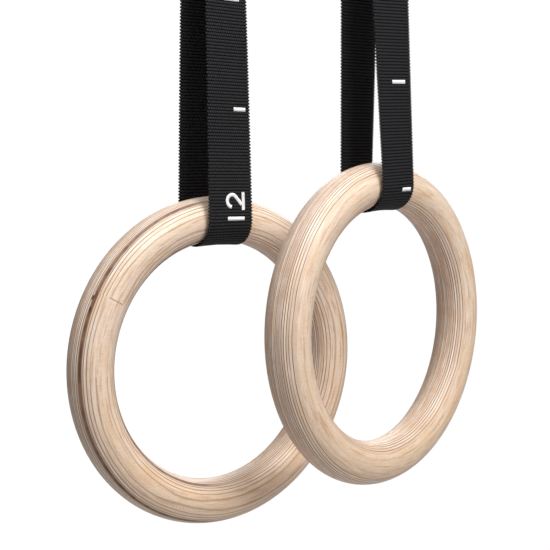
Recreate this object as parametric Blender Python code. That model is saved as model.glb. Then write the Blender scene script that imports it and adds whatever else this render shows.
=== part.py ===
"""A pair of plywood gymnastics rings, each hanging in a loop of webbing closed by a cam buckle.

Each hanger is one closed loop of webbing. It goes over a bar, down the front, round the ring's rod,
and up the back to a cam buckle that grips the other end of the same webbing.

Frame: +Z up, +X along the bars, -Y is the front. The origin is midway between the two loops, at the
height of the bars' axes. Lengths are in metres and angles in degrees.
"""

import math

import bmesh
import bpy
from mathutils import Vector

# Rings
RING_OUTER_DIAMETER = 0.235
ROD_DIAMETER = 0.03175
RING_STEPS = 72
ROD_STEPS = 16

# Webbing
WEBBING_WIDTH = 0.0381
WEBBING_THICKNESS = 0.0017
BAR_DIAMETER = 0.025
BAR_PLAY = 0.00035  # between the bar and the webbing that lies over it
ROD_PLAY = 0.0020  # between the rod and the webbing under it, so that the ring can tilt
BIGHT_STEPS = 14
BIGHT_RELIEF = 0.0100  # between a bight's ends and the straight runs, so that the bight can turn
TWIST_LEVEL = -0.131  # height at which the lower loop turns against the upper one
GAP = 0.0003

# Hangers. Each leans towards -X, going up, about its bar's middle. A drop is from the bar's axis to
# the ring's centre. A half gap is from the loop's middle plane to the middle of the webbing's thickness.
HANGERS = {
    "left": {
        "place": (-0.0497, 0.037),
        "lean": 0.4,
        "drop": 0.393,
        "ring_yaw": -10.5,
        "wrap_yaw": -8.7,
        "buckle_yaw": -2.9,
        "buckle_half_gap": 0.0131,
    },
    "right": {
        "place": (0.0348, -0.037),
        "lean": 1.9,
        "drop": 0.3692,
        "ring_yaw": 1.4,
        "wrap_yaw": 2.6,
        "buckle_yaw": -4.0,
        "buckle_half_gap": 0.0149,
    },
}

# Cam buckle, measured from the middle of the webbing that passes through it (outward is +)
CAM_PIN_LEVEL = -0.060
CAM_PIN_OUT = 0.0085
ANCHOR_PIN_LEVEL = -0.092
PIN_RADIUS = 0.0025
PIN_PLAY = 0.0003
PIN_HEAD_RADIUS = 0.0037
PIN_HEAD_THICKNESS = 0.0011
PIN_STEPS = 20
SHEET = 0.002  # thickness of the pressed steel
CHEEK_INSIDE = 0.0197  # from the middle to each cheek's inner face
BASE_TOP = -0.043
BASE_BOTTOM = -0.083
LAP_END = -0.127
TAIL_END = -0.1275

# Cam lever, about its pin: an angle of 0 points outward and 90 points up
TOOTH_COUNT = 6
TOOTH_HEIGHT = 0.0007
TOOTH_FROM, TOOTH_TO = 152, 218
TOOTH_RADIUS_TOP, TOOTH_RADIUS_LOW = 0.0066, 0.0077
HUB_RADIUS = 0.0053
LEVER_ANGLE = 50
LEVER_LENGTH = 0.030
LEVER_HALF_THICKNESS = 0.0016
THUMB_LENGTH = 0.012
THUMB_ANGLE = 22
CAM_HALF_WIDTH = 0.0191
SPRING_SLOT_RADIUS = 0.0086
SPRING_SLOT_HALF_WIDTH = 0.0042

# Torsion spring on the cam pin
COIL_RADIUS = 0.0039
WIRE_RADIUS = 0.00045
COIL_TURNS = 4
COIL_PITCH = 0.0013
COIL_STEPS = 12
WIRE_STEPS = 6
SPRING_LEG = 0.0068

ROD_RADIUS = ROD_DIAMETER / 2
RING_RADIUS = RING_OUTER_DIAMETER / 2 - ROD_RADIUS
HALF_WIDTH = WEBBING_WIDTH / 2
HALF_THICKNESS = WEBBING_THICKNESS / 2
# The rod curves down by this much between the middle of the webbing and its edges.
ROD_SAG = RING_RADIUS - math.sqrt(RING_RADIUS**2 - HALF_WIDTH**2)
WRAP_RISE = RING_RADIUS - ROD_SAG / 2
WRAP_HALF_GAP = ROD_RADIUS + ROD_PLAY + HALF_THICKNESS
BAR_HALF_GAP = BAR_DIAMETER / 2 + BAR_PLAY + HALF_THICKNESS
CHEEK_OUTSIDE = CHEEK_INSIDE + SHEET


def finish_material(name, colour, roughness, metallic):
    material = bpy.data.materials.new(name)
    material.use_nodes = True
    shader = material.node_tree.nodes["Principled BSDF"]
    shader.inputs["Base Color"].default_value = (*colour, 1)
    shader.inputs["Roughness"].default_value = roughness
    shader.inputs["Metallic"].default_value = metallic
    material.diffuse_color = (*colour, 1)
    return material


def empty_at(name, location, parent=None, yaw=0.0, lean=0.0):
    empty = bpy.data.objects.new(name, None)
    empty.empty_display_size = 0.02
    empty.location = location
    empty.rotation_euler = (0, math.radians(-lean), math.radians(yaw))
    empty.parent = parent
    bpy.context.collection.objects.link(empty)
    return empty


def solid(name, shape, material, parent, smooth_angle=None):
    """Makes one object from a bmesh. smooth_angle shades every edge flatter than it smooth."""
    bmesh.ops.recalc_face_normals(shape, faces=shape.faces)
    mesh = bpy.data.meshes.new(name)
    shape.to_mesh(mesh)
    shape.free()
    mesh.materials.append(material)
    if smooth_angle is not None:
        mesh.shade_smooth()
        mesh.set_sharp_from_angle(angle=math.radians(smooth_angle))
    part = bpy.data.objects.new(name, mesh)
    part.parent = parent
    bpy.context.collection.objects.link(part)
    return part


def skin(shape, sections, closed=False):
    """Joins equal loops of points into a tube. An open tube gets a flat cap at each end."""
    loops = [[shape.verts.new(point) for point in section] for section in sections]
    following = loops[1:] + (loops[:1] if closed else [])
    for first, second in zip(loops, following):
        for index in range(len(first)):
            after = (index + 1) % len(first)
            shape.faces.new((first[index], first[after], second[after], second[index]))
    if not closed:
        shape.faces.new(loops[0])
        shape.faces.new(loops[-1])


def prism(outline, half_width):
    """Extrudes an outline of (outward, up) points across the webbing, from -half_width to it."""
    shape = bmesh.new()
    skin(shape, [[(across, out, up) for out, up in outline] for across in (-half_width, half_width)])
    return shape


def arc(centre, radius, start, stop, steps):
    """Points of an arc in the plane of outward and up, its angles in degrees."""
    angles = [math.radians(start + (stop - start) * i / steps) for i in range(steps + 1)]
    return [(centre[0] + radius * math.cos(a), centre[1] + radius * math.sin(a)) for a in angles]


def rounded(corners, radius, steps=4):
    """An outline whose corners are each replaced by a short curve that starts radius away."""
    outline = []
    for index, corner in enumerate(corners):
        here = Vector(corner)
        before = (Vector(corners[index - 1]) - here).normalized() * radius + here
        after = (Vector(corners[(index + 1) % len(corners)]) - here).normalized() * radius + here
        for step in range(steps + 1):
            t = step / steps
            point = before * (1 - t) ** 2 + here * 2 * t * (1 - t) + after * t**2
            outline.append((point.x, point.y))
    return outline


def cut(part, tool_shape, name):
    """Cuts a closed shape out of a part, and leaves the tool as a hidden guide."""
    tool = solid(name, tool_shape, part.data.materials[0], part.parent)
    tool.hide_render = True
    tool.display_type = "WIRE"
    modifier = part.modifiers.new(name, "BOOLEAN")
    modifier.operation = "DIFFERENCE"
    modifier.solver = "EXACT"
    modifier.object = tool


def between(low, high, share):
    return low + (high - low) * share


def loop_at(hanger, level):
    """The loop's half gap and yaw at a height: straight between the bar, the buckle and the wrap."""
    wrap_level = WRAP_RISE - hanger["drop"]
    if level > BASE_TOP:
        share = level / BASE_TOP
        half_gap = between(BAR_HALF_GAP, hanger["buckle_half_gap"], share)
        return half_gap, between(0, hanger["buckle_yaw"], share)
    share = max(0, (TWIST_LEVEL - level) / (TWIST_LEVEL - wrap_level))
    half_gap = between(hanger["buckle_half_gap"], WRAP_HALF_GAP, share)
    return half_gap, between(hanger["buckle_yaw"], hanger["wrap_yaw"], share)


def across_webbing(yaw):
    return Vector((math.cos(math.radians(yaw)), math.sin(math.radians(yaw)), 0))


def strip(stations):
    """Webbing through stations, each a middle point, its direction across and its face's normal."""
    shape = bmesh.new()
    sections = []
    for middle, across, normal in stations:
        side = across * HALF_WIDTH
        face = normal * HALF_THICKNESS
        corners = (side + face, face - side, -side - face, side - face)
        sections.append([middle + corner for corner in corners])
    skin(shape, sections)
    return shape


def run_stations(hanger, front, levels):
    """Stations down the front or the back of the loop, at the given heights below the bar."""
    stations = []
    for level in levels:
        half_gap, yaw = loop_at(hanger, level)
        across = across_webbing(yaw)
        forward = Vector((across.y, -across.x, 0)) * (1 if front else -1)
        stations.append((forward * half_gap + Vector((0, 0, level)), across, forward))
    return stations


def bight(radius, yaw, over):
    """Half a turn of webbing about its parent's origin: over a bar, or under a rod."""
    across = across_webbing(yaw)
    forward = Vector((across.y, -across.x, 0))
    stations = []
    for step in range(BIGHT_STEPS + 1):
        turn = math.pi * step / BIGHT_STEPS
        rise = math.sin(turn) if over else -math.sin(turn)
        outward = forward * math.cos(turn) + Vector((0, 0, rise))
        stations.append((outward * radius, across, outward))
    return strip(stations)


def torus():
    """The ring about its own centre, standing in the plane of X and Z."""
    shape = bmesh.new()
    sections = []
    for step in range(RING_STEPS):
        round_ring = math.tau * step / RING_STEPS
        outward = Vector((math.cos(round_ring), 0, math.sin(round_ring)))
        section = []
        for side in range(ROD_STEPS):
            round_rod = math.tau * side / ROD_STEPS
            reach = RING_RADIUS + ROD_RADIUS * math.cos(round_rod)
            section.append(outward * reach + Vector((0, ROD_RADIUS * math.sin(round_rod), 0)))
        sections.append(section)
    skin(shape, sections, closed=True)
    return shape


def cylinder_across(centre, radius, half_width, steps=PIN_STEPS):
    return prism(arc(centre, radius, 0, 360 * (steps - 1) / steps, steps - 1), half_width)


def headed_pin():
    """A riveted pin about its own axis, with a head outside each cheek."""
    head_inside = CHEEK_OUTSIDE + GAP
    head_outside = head_inside + PIN_HEAD_THICKNESS
    profile = [
        (-head_outside, PIN_HEAD_RADIUS),
        (-head_inside, PIN_HEAD_RADIUS),
        (-head_inside, PIN_RADIUS),
        (head_inside, PIN_RADIUS),
        (head_inside, PIN_HEAD_RADIUS),
        (head_outside, PIN_HEAD_RADIUS),
    ]
    shape = bmesh.new()
    sections = []
    for across, radius in profile:
        points = arc((0, 0), radius, 0, 360 * (PIN_STEPS - 1) / PIN_STEPS, PIN_STEPS - 1)
        sections.append([(across, out, up) for out, up in points])
    skin(shape, sections)
    return shape


def anchor_pin_place():
    return (HALF_THICKNESS + PIN_PLAY + PIN_RADIUS, ANCHOR_PIN_LEVEL)


def buckle_frame(name, material, parent):
    """Two cheeks joined by a base plate behind the webbing, as one pressed channel."""
    plate_face = -HALF_THICKNESS - GAP
    plate_back = plate_face - SHEET
    cheek = rounded(
        [
            (plate_back, BASE_TOP),
            (0.0060, BASE_TOP),
            (0.0138, CAM_PIN_LEVEL + 0.0050),
            (0.0138, CAM_PIN_LEVEL - 0.0060),
            (0.0100, ANCHOR_PIN_LEVEL - 0.0055),
            (plate_back, ANCHOR_PIN_LEVEL - 0.0055),
        ],
        0.0026,
    )
    frame = solid(name, prism(cheek, CHEEK_OUTSIDE), material, parent)
    # The space between the cheeks is cut in two steps, so that the base plate stays.
    channel = [
        (plate_face, BASE_TOP + 0.01),
        (0.03, BASE_TOP + 0.01),
        (0.03, BASE_BOTTOM - 0.03),
        (plate_back - 0.01, BASE_BOTTOM - 0.03),
        (plate_back - 0.01, BASE_BOTTOM),
        (plate_face, BASE_BOTTOM),
    ]
    cut(frame, prism(channel, CHEEK_INSIDE), name + "_channel")
    for label, place in (("cam", (CAM_PIN_OUT, CAM_PIN_LEVEL)), ("anchor", anchor_pin_place())):
        hole = cylinder_across(place, PIN_RADIUS + PIN_PLAY, CHEEK_OUTSIDE + 0.005)
        cut(frame, hole, f"{name}_{label}_hole")
    return frame


def cam_lever(name, material, parent):
    """Two toothed lobes joined by a thumb lever, about the pin that they turn on."""
    outline = arc((0, 0), HUB_RADIUS, -118, 20, 10)
    along = Vector((math.cos(math.radians(LEVER_ANGLE)), math.sin(math.radians(LEVER_ANGLE))))
    aside = Vector((-along.y, along.x)) * LEVER_HALF_THICKNESS
    bend = along * LEVER_LENGTH
    thumb = Vector((math.cos(math.radians(THUMB_ANGLE)), math.sin(math.radians(THUMB_ANGLE))))
    tip = bend + thumb * THUMB_LENGTH
    thumb_aside = Vector((-thumb.y, thumb.x)) * LEVER_HALF_THICKNESS
    for point in (
        along * 0.0070 - aside * 1.6,
        bend - aside,
        tip - thumb_aside,
        tip + thumb_aside,
        bend + aside,
        along * 0.0095 + aside * 1.2,
    ):
        outline.append((point.x, point.y))
    outline += arc((0, 0), HUB_RADIUS, 105, 140, 3)
    for index in range(TOOTH_COUNT + 1):
        share = index / TOOTH_COUNT
        angle = math.radians(between(TOOTH_FROM, TOOTH_TO, share))
        half_pitch = math.radians((TOOTH_TO - TOOTH_FROM) / TOOTH_COUNT / 2)
        crest = between(TOOTH_RADIUS_TOP, TOOTH_RADIUS_LOW, share)
        root = crest - TOOTH_HEIGHT
        outline.append((crest * math.cos(angle), crest * math.sin(angle)))
        if index < TOOTH_COUNT:
            valley = angle + half_pitch
            outline.append((root * math.cos(valley), root * math.sin(valley)))
    lever = solid(name, prism(outline, CAM_HALF_WIDTH), material, parent)
    cut(lever, cylinder_across((0, 0), PIN_RADIUS + PIN_PLAY, 0.03), name + "_bore")
    slot = cylinder_across((0, 0), SPRING_SLOT_RADIUS, SPRING_SLOT_HALF_WIDTH)
    cut(lever, slot, name + "_spring_slot")
    return lever


def torsion_spring():
    """A coil about the cam pin, with one leg towards the lever and one down the frame."""
    path = []
    steps = COIL_TURNS * COIL_STEPS
    start = math.radians(180)
    swept = math.radians(360 * COIL_TURNS + LEVER_ANGLE + 90 - 180)
    half_length = COIL_PITCH * COIL_TURNS / 2
    low = Vector((-half_length, -COIL_RADIUS, -SPRING_LEG))
    path.append(low)
    for step in range(steps + 1):
        turn = start + swept * step / steps
        across = between(-half_length, half_length, step / steps)
        path.append(Vector((across, COIL_RADIUS * math.cos(turn), COIL_RADIUS * math.sin(turn))))
    lever = math.radians(LEVER_ANGLE)
    path.append(path[-1] + Vector((0, math.cos(lever), math.sin(lever))) * SPRING_LEG)
    shape = bmesh.new()
    sections = []
    for index, point in enumerate(path):
        along = (path[min(index + 1, len(path) - 1)] - path[max(index - 1, 0)]).normalized()
        side = Vector((1, 0, 0))
        side = (side - along * side.dot(along)).normalized()
        other = along.cross(side)
        angles = [math.tau * i / WIRE_STEPS for i in range(WIRE_STEPS)]
        section = [point + (side * math.cos(a) + other * math.sin(a)) * WIRE_RADIUS for a in angles]
        sections.append(section)
    skin(shape, sections)
    return shape


def sewn_end(name, material, parent):
    """The webbing's end turned over the anchor pin and sewn back onto itself."""
    pin = anchor_pin_place()
    inner_face = -HALF_THICKNESS
    lap_face = HALF_THICKNESS + WEBBING_THICKNESS
    eye_radius = PIN_RADIUS + PIN_PLAY
    over_radius = eye_radius + WEBBING_THICKNESS
    throat = ANCHOR_PIN_LEVEL - 0.013
    outline = [
        (inner_face, TWIST_LEVEL + GAP / 2),
        (HALF_THICKNESS, TWIST_LEVEL + GAP / 2),
        (HALF_THICKNESS, LAP_END),
        (lap_face, LAP_END),
        (lap_face, throat),
    ]
    outline += arc(pin, over_radius, -20, 180, 12)
    end = solid(name, prism(outline, HALF_WIDTH), material, parent)
    eye = [(HALF_THICKNESS + 0.0001, throat + 0.002)] + arc(pin, eye_radius, -20, 180, 12)
    cut(end, prism(eye, HALF_WIDTH + 0.005), name + "_eye")
    return end


def adjusting_end_path():
    """The webbing's free end: down between the cam and the plate, out over the pin, and down."""
    start_tail = anchor_pin_place()[0] + PIN_RADIUS + PIN_PLAY + 2 * WEBBING_THICKNESS + 0.0010
    path = [(0, BASE_TOP - 0.001), (0, CAM_PIN_LEVEL - 0.003), (0.0004, CAM_PIN_LEVEL - 0.006)]
    path += [(start_tail - 0.0010, ANCHOR_PIN_LEVEL + 0.004), (start_tail, ANCHOR_PIN_LEVEL)]
    path += [(start_tail, ANCHOR_PIN_LEVEL - 0.004), (start_tail - 0.0010, TAIL_END)]
    return path


def adjusting_end(hanger, name, material, parent):
    """The back run from the bar to the buckle, then through the cam, in the hanger's frame."""
    stations = run_stations(hanger, False, (-BIGHT_RELIEF, BASE_TOP / 2, BASE_TOP))
    across = across_webbing(hanger["buckle_yaw"])
    outward = Vector((-across.y, across.x, 0))
    path = adjusting_end_path()
    for index, (out, up) in enumerate(path):
        before = path[max(index - 1, 0)]
        after = path[min(index + 1, len(path) - 1)]
        down = outward * (after[0] - before[0]) + Vector((0, 0, after[1] - before[1]))
        middle = outward * (hanger["buckle_half_gap"] + out) + Vector((0, 0, up))
        stations.append((middle, across, across.cross(down.normalized())))
    return solid(name, strip(stations), material, parent)


def hang(side, hanger, wood, webbing, steel, cast):
    """One hanger: the loop, its buckle and its ring, each on the empties of its joints."""
    bar = empty_at(side + "_bar_axis", (*hanger["place"], 0), lean=hanger["lean"])
    wrap_level = WRAP_RISE - hanger["drop"]
    half_gap, yaw = hanger["buckle_half_gap"], hanger["buckle_yaw"]
    across = across_webbing(yaw)
    outward = Vector((-across.y, across.x, 0))

    # Loop above the level where it twists
    solid(side + "_bar_bight", bight(BAR_HALF_GAP, 0, True), webbing, bar, 40)
    upper_levels = (-BIGHT_RELIEF, BASE_TOP / 2, BASE_TOP, TWIST_LEVEL + GAP / 2)
    front = run_stations(hanger, True, upper_levels)
    solid(side + "_upper_front_run", strip(front), webbing, bar, 40)
    adjusting_end(hanger, side + "_adjusting_end", webbing, bar)

    # Cam buckle on the back of the loop
    buckle = empty_at(side + "_buckle", outward * half_gap, bar, yaw)
    sewn_end(side + "_sewn_end", webbing, buckle)
    buckle_frame(side + "_buckle_frame", steel, buckle)
    pin_place = anchor_pin_place()
    anchor = solid(side + "_anchor_pin", headed_pin(), steel, buckle, 40)
    anchor.location = (0, *pin_place)
    cam_axis = empty_at(side + "_cam_axis", (0, CAM_PIN_OUT, CAM_PIN_LEVEL), buckle)
    solid(side + "_cam_pin", headed_pin(), steel, cam_axis, 40)
    solid(side + "_cam_spring", torsion_spring(), steel, cam_axis, 60)
    cam_lever(side + "_cam_lever", cast, cam_axis)

    # Loop below that level, which carries the ring
    twist = empty_at(side + "_twist_axis", (0, 0, 0), bar)
    lower_top = TWIST_LEVEL - GAP / 2
    lower_bottom = wrap_level + BIGHT_RELIEF
    lower_levels = [between(lower_top, lower_bottom, step / 4) for step in range(5)]
    for label, is_front in (("_front_run", True), ("_back_run", False)):
        run = strip(run_stations(hanger, is_front, lower_levels))
        solid(side + label, run, webbing, twist, 40)
    tilt = empty_at(side + "_tilt_axis", (0, 0, wrap_level), twist)
    wrap = bight(WRAP_HALF_GAP, hanger["wrap_yaw"], False)
    solid(side + "_rod_bight", wrap, webbing, tilt, 40)
    ring = solid(side + "_ring", torus(), wood, tilt, 60)
    ring.location = (0, 0, -WRAP_RISE)
    ring.rotation_euler = (0, 0, math.radians(hanger["ring_yaw"]))


def main():
    for old in list(bpy.data.objects):
        bpy.data.objects.remove(old, do_unlink=True)
    wood = finish_material("birch_plywood", (0.80, 0.64, 0.47), 0.42, 0.0)
    webbing = finish_material("black_webbing", (0.018, 0.018, 0.020), 0.75, 0.0)
    steel = finish_material("zinc_plated_steel", (0.62, 0.62, 0.60), 0.35, 1.0)
    cast = finish_material("cast_zinc", (0.45, 0.45, 0.46), 0.45, 1.0)
    for side, hanger in HANGERS.items():
        hang(side, hanger, wood, webbing, steel, cast)


main()
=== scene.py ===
import math

import bmesh
import bpy
from mathutils import Matrix, Vector


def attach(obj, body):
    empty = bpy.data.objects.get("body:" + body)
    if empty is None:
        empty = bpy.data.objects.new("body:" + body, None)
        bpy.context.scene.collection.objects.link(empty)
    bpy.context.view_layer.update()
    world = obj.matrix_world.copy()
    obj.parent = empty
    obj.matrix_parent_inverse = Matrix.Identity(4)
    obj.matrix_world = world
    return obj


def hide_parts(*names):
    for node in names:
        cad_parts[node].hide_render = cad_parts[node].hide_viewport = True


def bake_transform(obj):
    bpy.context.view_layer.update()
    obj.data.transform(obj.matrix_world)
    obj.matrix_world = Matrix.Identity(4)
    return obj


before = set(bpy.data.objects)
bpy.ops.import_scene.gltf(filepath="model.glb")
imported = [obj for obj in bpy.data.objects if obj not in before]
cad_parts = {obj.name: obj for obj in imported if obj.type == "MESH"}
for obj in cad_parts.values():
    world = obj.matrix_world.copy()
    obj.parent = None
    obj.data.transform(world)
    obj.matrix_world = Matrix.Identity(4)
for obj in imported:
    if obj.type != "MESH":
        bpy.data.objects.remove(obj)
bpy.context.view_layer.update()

# Sizes, in metres and degrees, in the frame of the bars: +Z up, +X along them, -Y the front.
RING_RADIUS = 0.101625
ROD_RADIUS = 0.015875
PLY_THICKNESS = 0.00145
RING_STEPS, ROD_STEPS = 384, 72

HANGERS = {
    "left": {"place": (-0.0497, 0.037), "lean": 0.4, "drop": 0.393, "ring_yaw": -10.5,
             "wrap_yaw": -8.7, "buckle_yaw": -2.9, "buckle_half_gap": 0.0131},
    "right": {"place": (0.0348, -0.037), "lean": 1.9, "drop": 0.3692, "ring_yaw": 1.4,
              "wrap_yaw": 2.6, "buckle_yaw": -4.0, "buckle_half_gap": 0.0149},
}

# The left ring's scarf joint and the brown ply beside it: an angle, then millimetres in the ring
JOINT_ANGLE = math.radians(151)
BROWN_PLY_LEVEL = -9.1
VENEER_FROM, VENEER_TO = -10.5, -11.5
SEAM_RADIUS = 102.5
SPLITS = ((0.035, -7.7), (0.105, -8.8))       # (angle past the joint, level)

# Webbing
HALF_WIDTH = 0.01905
WRAP_RISE = (RING_RADIUS + math.sqrt(RING_RADIUS**2 - HALF_WIDTH**2)) / 2
HALF_THICKNESS = 0.00085      # to the crests of the ribs
RIB_HEIGHT = 0.00030
SELVEDGE_SCALLOP = 0.0013
RIB_PITCH = 0.00222
STEPS_PER_RIB = 6
STATION_SPACING, EASING = 0.0005, 3
CORNER_EASING = 0.002
YARN_PITCH = 0.0021
PROFILE_STEPS = 32
BIGHT_STEPS = 48
BAR_HALF_GAP = 0.0137
WRAP_HALF_GAP = 0.018725
WRAP_LOW = 0.0181             # from the wrap's axis down to the webbing's middle
WRAP_BOW = 0.0010             # how far the middle of the webbing rises into the rod's hollow
TWIST_LEVEL = -0.131
BLEND_BELOW_TWIST, BLEND_ABOVE_WRAP = 0.002, 0.022
BASE_TOP = -0.043
CAM_PIN_OUT, CAM_PIN_LEVEL = 0.0085, -0.060
ANCHOR_PIN_OUT, ANCHOR_PIN_LEVEL = 0.00365, -0.092
PIN_RADIUS = 0.0025
PIN_HEAD_RADIUS, PIN_HEAD_RIM, PIN_HEAD_DOME = 0.0037, 0.00040, 0.00085
PIN_STEPS = 40
EYE_RADIUS = 0.0038
TAIL_OUT, TAIL_END = 0.01085, -0.1275
TAIL_TUCK = 0.0010
LAP_OUT, LAP_END = 0.00180, -0.127
THROAT_LEVEL = -0.1045
CHEEK_OUTSIDE = 0.0217
FRAME_ROUNDING, LEVER_ROUNDING = 0.00045, 0.00030
FLAT_WITHIN, ROUNDED_FROM, SHARP_FROM = math.radians(1.5), math.radians(30), math.radians(40)
SPRING_RADIUS, SPRING_TURNS, SPRING_PITCH, SPRING_LEG = 0.0039, 4, 0.0013, 0.0068
LEVER_LEG_ANGLE = math.radians(50)
WIRE_RADIUS, WIRE_SIDES = 0.00045, 14
STITCH_PITCH, THREAD_RADIUS = 0.0027, 0.00026
STITCH_SINK = 0.0001
BOX_HALF_WIDTH, BOX_INSET = 0.0150, 0.0025

# Printed scale: distances along the webbing from the level of the wrap's axis
MARK_SPACING = 0.0762
STROKE = 0.0026
STROKE_STEP = 0.9             # millimetres
TICK_FROM, TICK_TO = 0.0040, 0.0145
PRINT_BASE = 0.0120           # across the webbing, where the numbers stand
NUMBER_LEAD = 0.0015
FILM = 0.00016
FILM_SINK = FILM * 0.2
STROKE_LIFT = 0.00002         # of a digit's second stroke over its first

# Studio
FILL = 0.12
GLOW = 1.02
FLOOR_REACH, FLOOR_LEVEL = 12.0, -0.75
MIDDLE = Vector((0.0, 0.0, -0.33))
CAMERA_PLACE = (-0.6744, -0.6056, -0.2593)
CAMERA_DIP, CAMERA_AZIMUTH = 4.62, -47


# ---------------------------------------------------------------- node graphs

class Value:
    """A number inside a node tree. Arithmetic on it adds Math nodes."""

    def __init__(self, graph, socket):
        self.graph, self.socket = graph, socket

    def math(self, operation, *others):
        sockets = dict(enumerate((self, *others)))
        return self.graph.value("ShaderNodeMath", {"operation": operation}, sockets)

    def __add__(self, other): return self.math("ADD", other)
    def __sub__(self, other): return self.math("SUBTRACT", other)
    def __mul__(self, other): return self.math("MULTIPLY", other)
    def __truediv__(self, other): return self.math("DIVIDE", other)
    def __pow__(self, other): return self.math("POWER", other)
    def __neg__(self): return self.math("MULTIPLY", -1.0)
    __radd__ = __add__
    __rmul__ = __mul__

    def __rsub__(self, other):
        return self.graph.value("ShaderNodeMath", {"operation": "SUBTRACT"}, {0: other, 1: self})

    def __abs__(self): return self.math("ABSOLUTE")
    def floor(self): return self.math("FLOOR")
    def sin(self): return self.math("SINE")
    def sign(self): return self.math("SIGN")
    def least(self, other): return self.math("MINIMUM", other)
    def most(self, other): return self.math("MAXIMUM", other)
    def above(self, other): return self.math("GREATER_THAN", other)
    def wrapped(self, other): return self.math("FLOORED_MODULO", other)

    def step(self, low, high):
        """0 below low, 1 above high, smooth between them. It runs downwards when low is above high."""
        if low > high:
            return 1 - self.step(high, low)
        return self.graph.value("ShaderNodeMapRange", {"interpolation_type": "SMOOTHSTEP"},
                                {0: self, 1: low, 2: high, 3: 0.0, 4: 1.0})


class Graph:
    """Adds nodes to a shader tree or a geometry tree."""

    def __init__(self, tree):
        self.tree = tree

    def node(self, kind, settings=None, sockets=None):
        """A node of this type. Its settings are set first, then its sockets, as values or links."""
        made = self.tree.nodes.new(kind)
        for name, setting in (settings or {}).items():
            setattr(made, name, setting)
        for key, fed in (sockets or {}).items():
            socket = made.inputs[key]
            source = fed.socket if isinstance(fed, Value) else fed
            if isinstance(source, bpy.types.NodeSocket):
                self.tree.links.new(source, socket)
            else:
                socket.default_value = source
        return made

    def value(self, kind, settings=None, sockets=None, output=0):
        return Value(self, self.node(kind, settings, sockets).outputs[output])

    def vector(self, operation, first, second=None):
        sockets = {0: first} if second is None else {0: first, 1: second}
        return self.node("ShaderNodeVectorMath", {"operation": operation}, sockets).outputs["Vector"]

    def scaled(self, vector, factor):
        sockets = {0: vector, "Scale": factor}
        return self.node("ShaderNodeVectorMath", {"operation": "SCALE"}, sockets).outputs["Vector"]

    def joined(self, x, y, z):
        return self.node("ShaderNodeCombineXYZ", sockets={0: x, 1: y, 2: z}).outputs[0]

    def split(self, vector):
        parts = self.node("ShaderNodeSeparateXYZ", sockets={0: vector})
        return [Value(self, output) for output in parts.outputs]

    def mix(self, factor, first, second):
        """A colour mixed from two. Sockets 6 and 7 are the Mix node's colours."""
        sockets = {0: factor, 6: first, 7: second}
        return self.node("ShaderNodeMix", {"data_type": "RGBA"}, sockets).outputs[2]

    def noise(self, vector, scale, detail=3.0, roughness=0.5, fourth=None):
        """Noise in three dimensions, or in four if a fourth coordinate is given."""
        sockets = {"Vector": vector, "Scale": scale, "Detail": detail, "Roughness": roughness}
        if fourth is not None:
            sockets["W"] = fourth
        dimensions = "3D" if fourth is None else "4D"
        return self.value("ShaderNodeTexNoise", {"noise_dimensions": dimensions}, sockets, "Fac")

    def random(self, value):
        return self.value("ShaderNodeTexWhiteNoise", {"noise_dimensions": "1D"}, {"W": value})


def colour(red, green, blue):
    return (red, green, blue, 1.0)


def material(name, **constants):
    """A new material with its Principled shader. Constants go straight onto the shader's sockets."""
    made = bpy.data.materials.new(name)
    made.use_nodes = True
    shader = made.node_tree.nodes["Principled BSDF"]
    for socket, constant in constants.items():
        shader.inputs[socket.replace("_", " ")].default_value = constant
    return made, Graph(made.node_tree), shader


def feed(graph, shader, **varying):
    for socket, source in varying.items():
        source = source.socket if isinstance(source, Value) else source
        graph.tree.links.new(source, shader.inputs[socket.replace("_", " ")])


def bump(graph, height, distance, strength=1.0):
    return graph.node("ShaderNodeBump", sockets={
        "Height": height, "Distance": distance, "Strength": strength}).outputs["Normal"]


# ------------------------------------------------------------------ materials

BIRCH = colour(0.89, 0.70, 0.53), colour(0.87, 0.70, 0.565)
END_GRAIN = colour(0.54, 0.275, 0.145), colour(0.44, 0.24, 0.16)
DARK_PLY = colour(0.33, 0.165, 0.092)
HONEY_CLOUD = colour(0.80, 0.51, 0.26)
# a darker, warmer brown: painted shade for the lower part of the ring
PAINTED_LOWER_SHADE = colour(0.66, 0.43, 0.24)
GRAIN = colour(0.60, 0.36, 0.19)
DARK_STREAK = colour(0.48, 0.265, 0.145)
PALE_STREAK = colour(0.98, 0.87, 0.76)
FLECK = colour(0.44, 0.25, 0.13)
PORE = colour(0.22, 0.11, 0.06)
GLUE_EDGE = colour(0.99, 0.92, 0.85)
GLUE = colour(0.17, 0.080, 0.044)
BROWN_PLY = colour(0.15, 0.064, 0.030)
SEAM = colour(0.36, 0.20, 0.10)
GAP = colour(0.060, 0.028, 0.016)


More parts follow.
